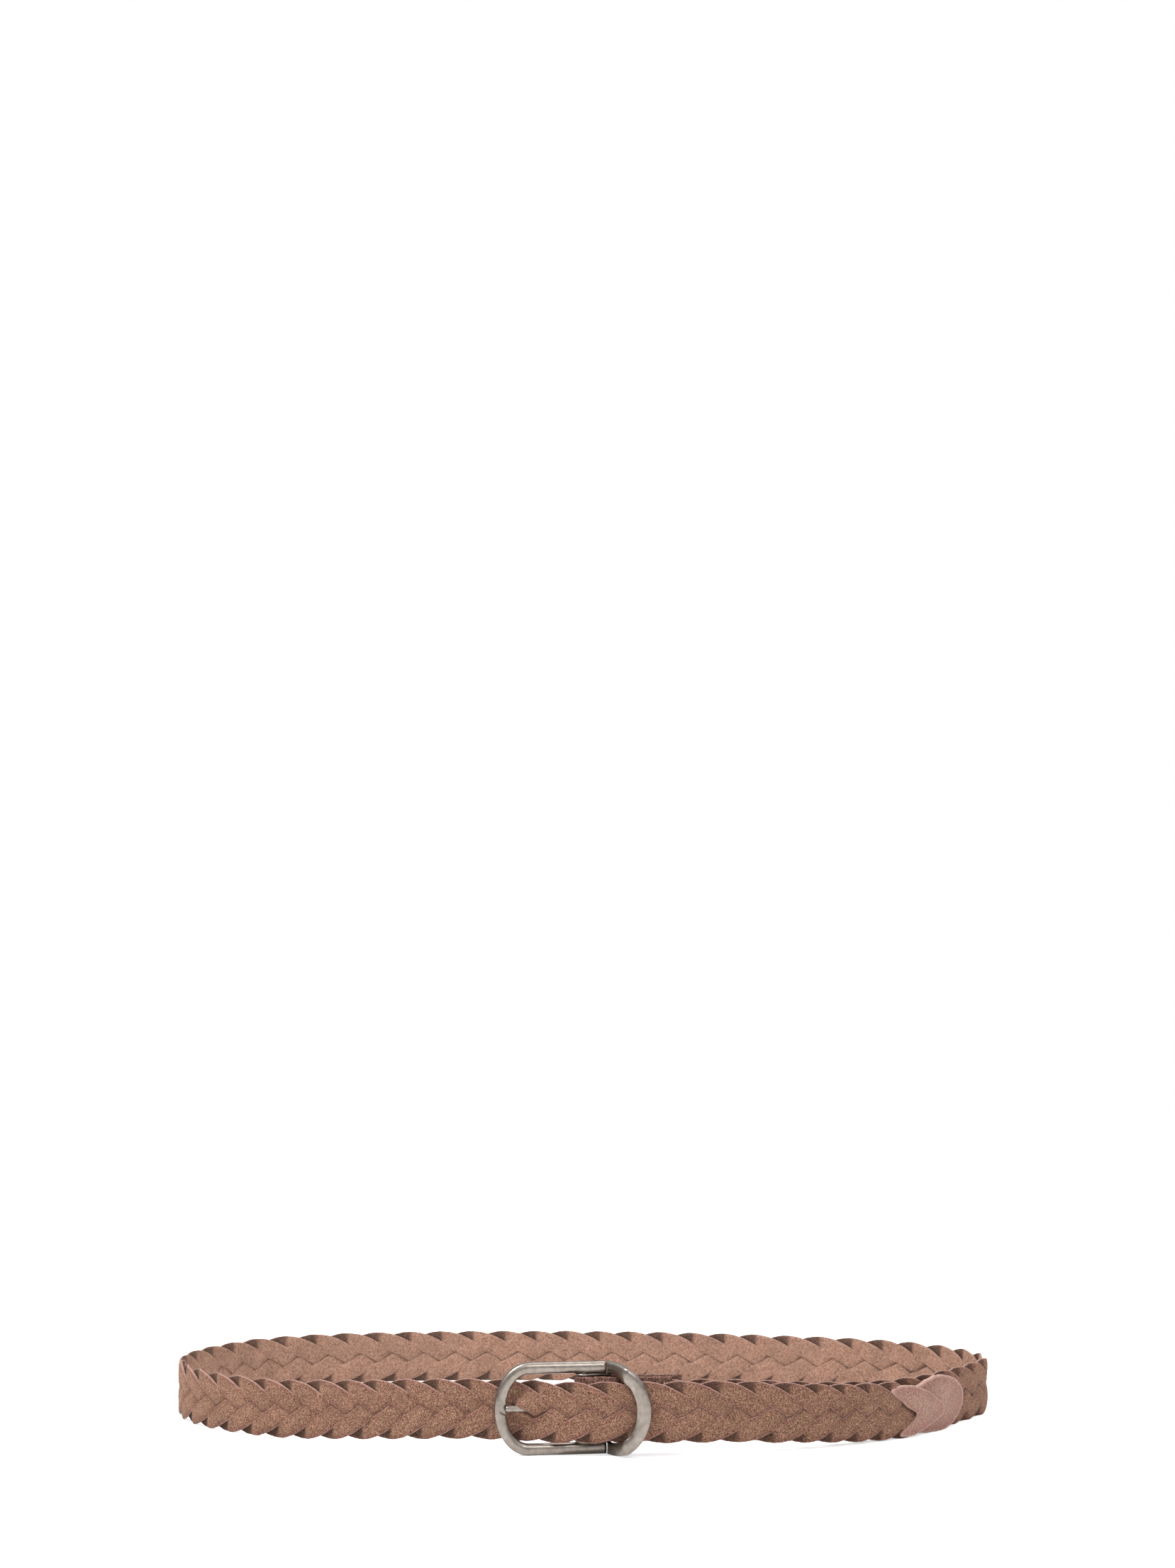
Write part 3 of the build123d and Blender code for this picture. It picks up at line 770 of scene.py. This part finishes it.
def draw_strip(name, strip, first, last):
    thing = new_object(name, [], [])
    drawing = thing.modifiers.new("plait", "NODES")
    drawing.node_group = STRIP_TREE
    values = {"Path": path, "Strip": strip, "First": float(first), "Last": float(last),
              "Rings": int((last - first) / 0.55), "Sides": 20, "Suede": SUEDE, "Grain": GRAIN}
    for label, value in values.items():
        set_input(drawing, label, value)
    settle(thing)
    turn_outwards(thing)
    return say(thing)


LAST = [2, 8, 9, 0, -6]                      # how far each strip runs on under the tip
BELT_END = LOOP_LENGTH + KEEPER_COVER + 1.5
TAIL_FIRST = LOOP_LENGTH + KEEPER_COVER - 1.0

for strip in range(5):
    belt = draw_strip(f"plait_strip_{strip + 1}", strip, FOLD_ROOM + 0.5, BELT_END)
    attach(belt, "root")
    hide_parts(f"strand_{strip + 1}")
    tail = draw_strip(f"plait_tail_{strip + 1}", strip, TAIL_FIRST, LOOP_LENGTH + PLAIT_END + LAST[strip])
    tuple(to_frame(strap_point(LOOP_LENGTH + 28.0, 0.0, 13.0)))
    tuple(to_frame(strap_point(LOOP_LENGTH + 44.0, 0.0, 13.0)))
    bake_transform(tail)
    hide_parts(f"strand_{strip + 1}_tail")
bpy.data.objects.remove(path)

# %% [markdown]
# ## The tip
#
# The strap ends in a rounded tab of the same suede, and the plait's last strip lies on it like half
# of a heart. Both are flat cushions: an outline drawn on the strap, filled from its middle outwards.
# Cutting them from a sheet would leave hard card edges; a cushion is thick in the middle, and its
# rim turns down softly the way a skived leather edge does.

# %% A cushion lying on the strap


def round_outline(corners, count):
    """An even run of points round a smooth closed outline."""
    line = closed_spline(corners, 40)
    line = np.vstack([line, line[:1]])
    travel = np.concatenate([[0], np.cumsum(np.linalg.norm(np.diff(line, axis=0), axis=1))])
    even = np.linspace(0, travel[-1], count, endpoint=False)
    return np.stack([np.interp(even, travel, line[:, k]) for k in (0, 1)], axis=1)


def cushion(name, corners, middle, low, high, dome, tuck, dive, dive_from, seed, count=200, rings=26):
    """A piece of leather between two depths in the strap, with a rounded rim."""
    rim = round_outline(corners, count)
    turn = np.linspace(0, TAU, count, endpoint=False)
    wobble = np.random.default_rng(seed)
    rough = sum(wobble.normal(0, 0.05) * np.sin(turn * k + wobble.uniform(0, TAU)) for k in range(9, 40, 3))
    away = rim - middle
    rim = rim + away / np.linalg.norm(away, axis=1, keepdims=True) * rough[:, None]
    shares = np.linspace(0, 1, rings + 1)[1:]
    layers, edges, sides = [], [], []
    for share in shares:                       # the front, from the middle to the rim
        bow = dome * (1 - share**2) - tuck * share**8
        layers.append((1 - (1 - share) ** 1.3, high + bow))
    depth = (high - tuck) - low
    for step in (0.35, 0.7):                   # round the rim
        layers.append((1 + 0.006 * math.sin(math.pi * step), high - tuck - depth * step))
    for share in shares[::-1]:                 # and the back
        layers.append((1 - (1 - share) ** 1.3, low))
    flat = [(middle[0], middle[1], high + dome)]
    for share, across in layers:
        ring = middle + (rim - middle) * share
        flat += [(x, y, across) for x, y in ring]
        edges += [share] * count
    flat.append((middle[0], middle[1], low))
    flat = np.array(flat)
    flat[:, 2] -= dive * smooth((dive_from - flat[:, 0]) / 9)
    points = strap_point(LOOP_LENGTH + flat[:, 0], flat[:, 2], flat[:, 1])
    faces = [(0, 1 + i, 1 + (i + 1) % count) for i in range(count)]
    for layer in range(len(layers) - 1):
        one, two = 1 + layer * count, 1 + (layer + 1) * count
        faces += [(one + i, two + i, two + (i + 1) % count, one + (i + 1) % count) for i in range(count)]
    last, end = 1 + (len(layers) - 1) * count, len(flat) - 1
    faces += [(end, last + (i + 1) % count, last + i) for i in range(count)]
    thing = new_object(name, to_frame(points), faces)
    worn = thing.data.attributes.new("edge", "FLOAT", "POINT")
    worn.data.foreach_set("value", np.array([0.0] + edges + [0.0], np.float32))
    for face in thing.data.polygons:
        face.use_smooth = True
    return turn_outwards(thing)


# %% The tab and the last strip on it
TAB_OUTLINE = [
    (151, 5), (156, 2.2), (167, 0.4), (178, 0.0), (186, 1.2), (193.5, 5.0), (198.3, 10.2), (198.6, 15.5),
    (194.5, 20.2), (187.5, 23.6), (178, 25.6), (169, 25.0), (161, 22.5), (153, 19.5), (149, 13),
]
CAP_OUTLINE = [
    (144.0, 23.2), (149.0, 24.0), (155.0, 23.4), (162, 21.2), (168.5, 17.8), (174, 14.2), (176.9, 11.2),
    (176.0, 8.9), (171.5, 6.5), (165.4, 4.0), (158.5, 1.9), (151, 0.7), (147.5, 1.4), (150.5, 4.8),
    (156.4, 8.8), (157.4, 10.2), (154.0, 12.6), (149.0, 16.2), (144.0, 19.4), (142.0, 21.5),
]
tab = cushion("tip_end_tab", TAB_OUTLINE, np.array([174.0, 13.0]), low=-1.7, high=0.25, dome=0.3,
              tuck=0.5, dive=0.7, dive_from=162.0, seed=3)
cap = cushion("tip_last_strip", CAP_OUTLINE, np.array([163.0, 12.6]), low=1.3, high=2.65, dome=0.3,
              tuck=0.3, dive=0.75, dive_from=156.0, seed=5)
for thing, node in ((tab, "tip_tab"), (cap, "tip_cap")):
    thing.data.materials.append(TAB_LEATHER)
    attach(thing, "tail")
    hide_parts(node)
    say(thing)

# %% [markdown]
# ## The chape
#
# One strip of the same split leather is folded round the bar, with the plait's end sewn between
# its two leaves and a slot cut for the prong. It is drawn as a single surface, seen from above as
# a long U, given its thickness by the Solidify modifier and its cut edge by the Bevel modifier.

# %% Chape
CHAPE_LOW, CHAPE_HIGH = 6.2, 33.8
CHAPE_MIDDLE, CHAPE_THICKNESS = 3.2, 1.8      # its mid line stands this far from the plait's centre
CHAPE_FRONT_END, CHAPE_BACK_END = 38.0, 43.0
SLOT_LOW, SLOT_HIGH = 17.9, 22.9

front_leaf = np.linspace(CHAPE_FRONT_END, 0, 48)
back_leaf = np.linspace(0, CHAPE_BACK_END, 54)
plan = [np.append(loop_point(d) + loop_outward(d) * CHAPE_MIDDLE, d) for d in front_leaf]
for angle in np.linspace(-90, -270, 25)[1:-1]:
    fold = (CHAPE_MIDDLE * math.cos(math.radians(angle)), CHAPE_MIDDLE * math.sin(math.radians(angle)))
    plan.append(np.array([*fold, 0.0]))
plan += [np.append(loop_point(d) - loop_outward(d) * CHAPE_MIDDLE, d) for d in back_leaf]
plan = np.array(plan)
levels = np.array(sorted([*np.linspace(CHAPE_LOW, CHAPE_HIGH, 40), SLOT_LOW, SLOT_HIGH]))
rough = np.random.default_rng(11)
points, faces = [], []
for i, (x, y, _) in enumerate(plan):
    for level in levels:
        ragged = rough.normal(0, 0.07) if level in (CHAPE_LOW, CHAPE_HIGH) else 0.0
        points.append((x, y, level + ragged))
for i in range(len(plan) - 1):
    for j in range(len(levels) - 1):
        middle_z = (levels[j] + levels[j + 1]) / 2
        if SLOT_LOW < middle_z < SLOT_HIGH and max(plan[i][0], plan[i + 1][0]) < 4.2:
            continue
        a = i * len(levels) + j
        b = a + len(levels)
        faces.append((a, b, b + 1, a + 1))
chape = new_object("folded_chape", to_frame(points), faces)
skin = chape.modifiers.new("thickness", "SOLIDIFY")
skin.thickness, skin.offset = CHAPE_THICKNESS * MM, 0.0
skin.use_even_offset = True
cut = chape.modifiers.new("cut_edge", "BEVEL")
cut.width, cut.segments = 0.3 * MM, 2
cut.limit_method, cut.angle_limit = "ANGLE", math.radians(50)
settle(chape)
for face in chape.data.polygons:
    face.use_smooth = True
chape.data.materials.clear()
# Darker suede on the chape: painted shade.
chape.data.materials.append(SUEDE_IN_PAINTED_SHADE)
turn_outwards(chape)
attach(chape, "root")
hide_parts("chape")
say(chape)

# %% The thread in the chape
STITCH_PITCH, STITCH_LENGTH, THREAD = 3.0, 2.2, 0.5


def stitch_tree():
    """Upright stitches, a row of them above every starting point."""
    labels = [("Geometry", "NodeSocketGeometry", None), ("Count", "NodeSocketInt", 8),
              ("Pitch", "NodeSocketFloat", 3.0), ("Length", "NodeSocketFloat", 2.2),
              ("Thread", "NodeSocketFloat", 0.45), ("Seed", "NodeSocketInt", 4),
              ("Material", "NodeSocketMaterial", None)]
    tree, given, target = new_tree("row_of_stitches", "GeometryNodeTree", labels,
                                   [("Geometry", "NodeSocketGeometry")])
    f = {name: Field(tree, socket) for name, socket in given.items()}
    step = tree.nodes.new("ShaderNodeCombineXYZ")
    feed(tree, step.inputs[2], f["Pitch"] * MM)
    row = add_node(tree, "GeometryNodeMeshLine", {"Count": given["Count"], "Offset": step.outputs[0]})
    rows = add_node(
        tree, "GeometryNodeInstanceOnPoints", {"Points": given["Geometry"], "Instance": row.outputs[0]})
    points = add_node(tree, "GeometryNodeRealizeInstances", {"Geometry": rows.outputs[0]})
    bead = add_node(tree, "GeometryNodeMeshUVSphere", {"Segments": 8, "Rings": 6, "Radius": 0.5})
    size = tree.nodes.new("ShaderNodeCombineXYZ")
    for socket, value in zip(size.inputs, (f["Thread"], f["Thread"], f["Length"])):
        feed(tree, socket, value * MM)
    lean = add_node(tree, "FunctionNodeRandomValue", {
        0: (-0.12, -0.12, 0.0), 1: (0.12, 0.12, 6.0), "Seed": given["Seed"]}, data_type="FLOAT_VECTOR")
    beads = add_node(tree, "GeometryNodeInstanceOnPoints", {
        "Points": points.outputs[0], "Instance": bead.outputs[0], "Rotation": lean.outputs[0],
        "Scale": size.outputs[0]})
    real = add_node(tree, "GeometryNodeRealizeInstances", {"Geometry": beads.outputs[0]})
    soft = add_node(tree, "GeometryNodeSetShadeSmooth", {"Geometry": real.outputs[0], "Shade Smooth": True})
    dressed = add_node(
        tree, "GeometryNodeSetMaterial", {"Geometry": soft.outputs[0], "Material": given["Material"]})
    tree.links.new(dressed.outputs[0], target.inputs[0])
    return tree


starts = []
for past in (8.5, 34.5):
    for side in (-1, 1):
        leaf_face = CHAPE_MIDDLE + CHAPE_THICKNESS / 2 + THREAD * 0.32
        x, y = loop_point(past) + loop_outward(past) * side * leaf_face
        starts.append((x, y, CHAPE_LOW + 3.3))
stitches = new_object("chape_thread", to_frame(starts), [])
sewing = stitches.modifiers.new("sewing", "NODES")
sewing.node_group = stitch_tree()
for label, value in {"Count": 8, "Pitch": STITCH_PITCH, "Length": STITCH_LENGTH, "Thread": THREAD,
                     "Seed": 4, "Material": THREAD_YARN}.items():
    set_input(sewing, label, value)
settle(stitches)
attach(stitches, "root")
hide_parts("chape_stitches")
say(stitches)

# %% [markdown]
# ## The metal
#
# The frame is a bar of half-round section bent into a long C; its open ends carry the pivot bar,
# and the keeper bow closes it. Both are one section carried round an outline, so the light can run
# along them unbroken. The CAD has the same shapes with plain fillets; here the front is fully
# round and meets the flat sides in a fine line, as polished castings do.

# %% Sections carried round an outline


def carry(name, stations):
    """A solid from a run of closed sections (all with as many points), capped at both ends."""
    stations = np.asarray(stations)
    count, around = stations.shape[:2]
    faces = []
    for i in range(count - 1):
        one, two = i * around, (i + 1) * around
        faces += [(one + j, two + j, two + (j + 1) % around, one + (j + 1) % around) for j in range(around)]
    faces.append(tuple(range(around)))
    faces.append(tuple(reversed(range((count - 1) * around, count * around))))
    thing = new_object(name, to_frame(stations.reshape(-1, 3)), faces)
    for face in thing.data.polygons:
        face.use_smooth = len(face.vertices) == 4
    return turn_outwards(thing)


def half_round(flat, corner=0.22, count=21):
    """A section from -1 to 1 across and -1 (front) to 1 (back): round front, straight sides, flat back."""
    points = []
    for angle in np.linspace(180, 0, count):
        x, y = math.cos(math.radians(angle)), math.sin(math.radians(angle))
        points.append((x * 0.985, flat - (flat + 1) * abs(y) ** 0.9))
    nip = corner * 0.35
    points += [(1.0, flat + 0.05), (1.0, flat + 0.12), (1.0, 1 - corner), (1 - nip, 1 - nip)]
    points += [(1 - corner, 1.0), (0.0, 1.0), (corner - 1, 1.0), (nip - 1, 1 - nip)]
    points += [(-1.0, 1 - corner), (-1.0, flat + 0.12), (-1.0, flat + 0.05)]
    return points


def c_path(x_open, x_closed, low, high, reach, squareness=2.0, steps=48):
    """Points of a C lying on its side: along the bottom, round the half-oval end, back along the top."""
    way = 1 if x_closed > x_open else -1
    neck, middle, tall = x_closed - way * reach, (low + high) / 2, (high - low) / 2
    points = [(x_open + (neck - x_open) * t, low) for t in np.linspace(0, 1, 24, endpoint=False)]
    for angle in np.linspace(-90, 90, 2 * steps + 1):
        c, s = math.cos(math.radians(angle)), math.sin(math.radians(angle))
        points.append((neck + way * reach * abs(c) ** (2 / squareness),
                       middle + tall * math.copysign(abs(s) ** (2 / squareness), s)))
    points += [(neck + (x_open - neck) * t, high) for t in np.linspace(0, 1, 25)[1:]]
    return np.array(points)


def tilted(points, degrees=8.5):
    """Turned about the bar, as the frame leans on the strap."""
    c, s = math.cos(math.radians(degrees)), math.sin(math.radians(degrees))
    x, y, z = np.moveaxis(np.asarray(points, float), -1, 0)
    return np.stack([x * c - y * s, x * s + y * c, z], axis=-1)


# %% Buckle frame
FRAME_LEFT, FRAME_RIGHT, FRAME_HEIGHT, RAIL, FRAME_END, FRAME_DEPTH = 38.7, 9.9, 40.0, 5.0, 4.8, 3.8
OVAL_REACH = 15.0             # how far the half-oval end runs
PRONG_Z, RECESS_X, RECESS_RADIUS = 20.4, -34.2, 2.7
outer = c_path(FRAME_RIGHT, -FRAME_LEFT, 0, FRAME_HEIGHT, OVAL_REACH)
inner = c_path(FRAME_RIGHT, -FRAME_LEFT + FRAME_END, RAIL, FRAME_HEIGHT - RAIL, OVAL_REACH - FRAME_END)
section = half_round(-0.3)
stations = []
for (xo, zo), (xi, zi) in zip(outer, inner):
    ring = [((xo + xi) / 2 + (xo - xi) / 2 * a, b * FRAME_DEPTH / 2, (zo + zi) / 2 + (zo - zi) / 2 * a)
            for a, b in section]
    stations.append(tilted(ring))
buckle = carry("polished_frame", stations)
print("frame volume", round(volume(buckle.data) / MM**3), "mm3")

# The recess that the prong's tip drops into
rim = [(RECESS_X + RECESS_RADIUS * math.cos(angle), PRONG_Z + RECESS_RADIUS * math.sin(angle))
       for angle in np.linspace(0, TAU, 40, endpoint=False)]
cutter = carry("recess", [tilted([(x, y, z) for x, z in rim]) for y in (-6.0, 1.0)])
recess = buckle.modifiers.new("recess", "BOOLEAN")
recess.object, recess.operation, recess.solver = cutter, "DIFFERENCE", "EXACT"
settle(buckle)
bpy.data.objects.remove(cutter)
for face in buckle.data.polygons:
    face.use_smooth = len(face.vertices) == 4
buckle.data.materials.clear()
buckle.data.materials.append(NICKEL)
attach(buckle, "frame")
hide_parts("buckle_frame")
say(buckle)

# %% [markdown]
# ## The keeper bow
#
# The same section makes the keeper, but its outline also steps forward off the bar and over the
# strap. Bending a finished bow would pinch the section at the elbow, so each section is set square
# to the plan's slope as it is placed.

# %% Keeper bow
KEEPER_START, KEEPER_REACH, KEEPER_WIDTH, KEEPER_THICKNESS = 10.2, 29.0, 6.2, 3.2
KEEPER_BACK, KEEPER_FRONT, KEEPER_ELBOW = 1.48, -11.1, 18.5


def bow_plan(x):
    """How far forward the bow's middle is, seen from above, and the slope there."""
    xs = np.linspace(KEEPER_START - 3, KEEPER_REACH + 3, 300)
    slope = (KEEPER_FRONT - KEEPER_BACK) / (KEEPER_ELBOW - KEEPER_START)
    ys = np.clip(KEEPER_BACK + slope * (xs - KEEPER_START), KEEPER_FRONT, KEEPER_BACK)
    soft = np.exp(-(np.linspace(-1.6, 1.6, 33) ** 2) * 1.6)
    ys = np.convolve(np.pad(ys, 16, mode="edge"), soft / soft.sum(), mode="valid")
    return np.interp(x, xs, ys), np.interp(x, xs, np.gradient(ys, xs))


outer = c_path(KEEPER_START, KEEPER_REACH, 0, FRAME_HEIGHT, 17.0)
inner = c_path(KEEPER_START, KEEPER_REACH - KEEPER_WIDTH, RAIL, FRAME_HEIGHT - RAIL, 12.0, 2.05)
section = half_round(-0.45, corner=0.3)
stations = []
for (xo, zo), (xi, zi) in zip(outer, inner):
    ring = []
    for a, b in section:
        x = (xo + xi) / 2 + (xo - xi) / 2 * a
        z = (zo + zi) / 2 + (zo - zi) / 2 * a
        y, slope = bow_plan(x)
        normal = np.array([-slope, 1.0]) / math.hypot(slope, 1)
        ring.append((max(KEEPER_START, x + normal[0] * b * KEEPER_THICKNESS / 2),
                     y + normal[1] * b * KEEPER_THICKNESS / 2, z))
    stations.append(ring)
bow = carry("keeper_bow_cast", stations)


def plate(name, outline, low, high):
    """A thin flat plate with an outline seen from above."""
    return carry(name, [[(x, y, low) for x, y in outline], [(x, y, high) for x, y in outline]])


def join(first, *others):
    work = bmesh.new()
    for thing in (first, *others):
        work.from_mesh(thing.data)
    work.to_mesh(first.data)
    work.free()
    for thing in others:
        bpy.data.objects.remove(thing)
    return first


ears = []
EAR_RADIUS, EAR_THICKNESS, EAR_LEVELS = 3.6, 0.8, (5.05, 34.15)
ear_edge = [(EAR_RADIUS * math.cos(t), EAR_RADIUS * math.sin(t)) for t in np.linspace(0.75, TAU - 0.75, 36)]
ear_edge = [(12.0, 2.4), *ear_edge, (12.0, -1.0)]
for low in EAR_LEVELS:
    ears.append(plate("ear", ear_edge, low, low + EAR_THICKNESS))
join(bow, *ears)
bow.data.materials.append(NICKEL)
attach(bow, "keeper")
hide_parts("keeper_bow")
say(bow)

# %% [markdown]
# ## The prong
#
# A round rod with a rounded tip and a ring that turns on the bar. The rod is a run of circles, so
# that it can taper and sag a little, which a plain cylinder can't.

# %% Prong
start, finish = np.array([-1.6, -1.7]), np.array([-34.55, -0.65])
stations = []
rounding = 0.96 + 0.04 * np.sin(np.linspace(0, math.pi / 2, 12))[1:]
for t in np.concatenate([np.linspace(0, 0.96, 40), rounding]):
    x, y = start + (finish - start) * t
    radius = 1.7 - 0.25 * t
    if t > 0.96:
        radius *= math.sqrt(max(1 - ((t - 0.96) / 0.0401) ** 2, 0.002))
    y -= 0.35 * math.sin(math.pi * t)
    ring = [(x, y + radius * math.cos(a), PRONG_Z + radius * math.sin(a))
            for a in np.linspace(0, TAU, 28, endpoint=False)]
    stations.append(tilted(ring))
shank = carry("prong_cast", stations)
eye_outer = [(3.5, -2.0), (3.5, 2.0), (3.2, 2.25), (2.3, 2.25),
             (2.08, 2.0), (2.08, -2.0), (2.3, -2.25), (3.2, -2.25)]
rings = []
for angle in np.linspace(0, TAU, 48, endpoint=False):
    c, s = math.cos(angle), math.sin(angle)
    rings.append([(r * c, r * s, PRONG_Z + h) for r, h in eye_outer])
rings = np.array(rings)
count, around = rings.shape[:2]
faces = []
for i in range(count):
    one, two = i * around, (i + 1) % count * around
    faces += [(one + j, two + j, two + (j + 1) % around, one + (j + 1) % around) for j in range(around)]
eye_ring = turn_outwards(new_object("prong_eye", to_frame(rings.reshape(-1, 3)), faces))
join(shank, eye_ring)
for face in shank.data.polygons:
    face.use_smooth = True
shank.data.materials.append(NICKEL)
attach(shank, "prong")
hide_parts("prong")
say(shank)

# %% The bar stays as it was packed, in the same nickel
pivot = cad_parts["pivot_bar"]
pivot.data.materials.clear()
pivot.data.materials.append(NICKEL)
print("pivot_bar dressed in", NICKEL.name)
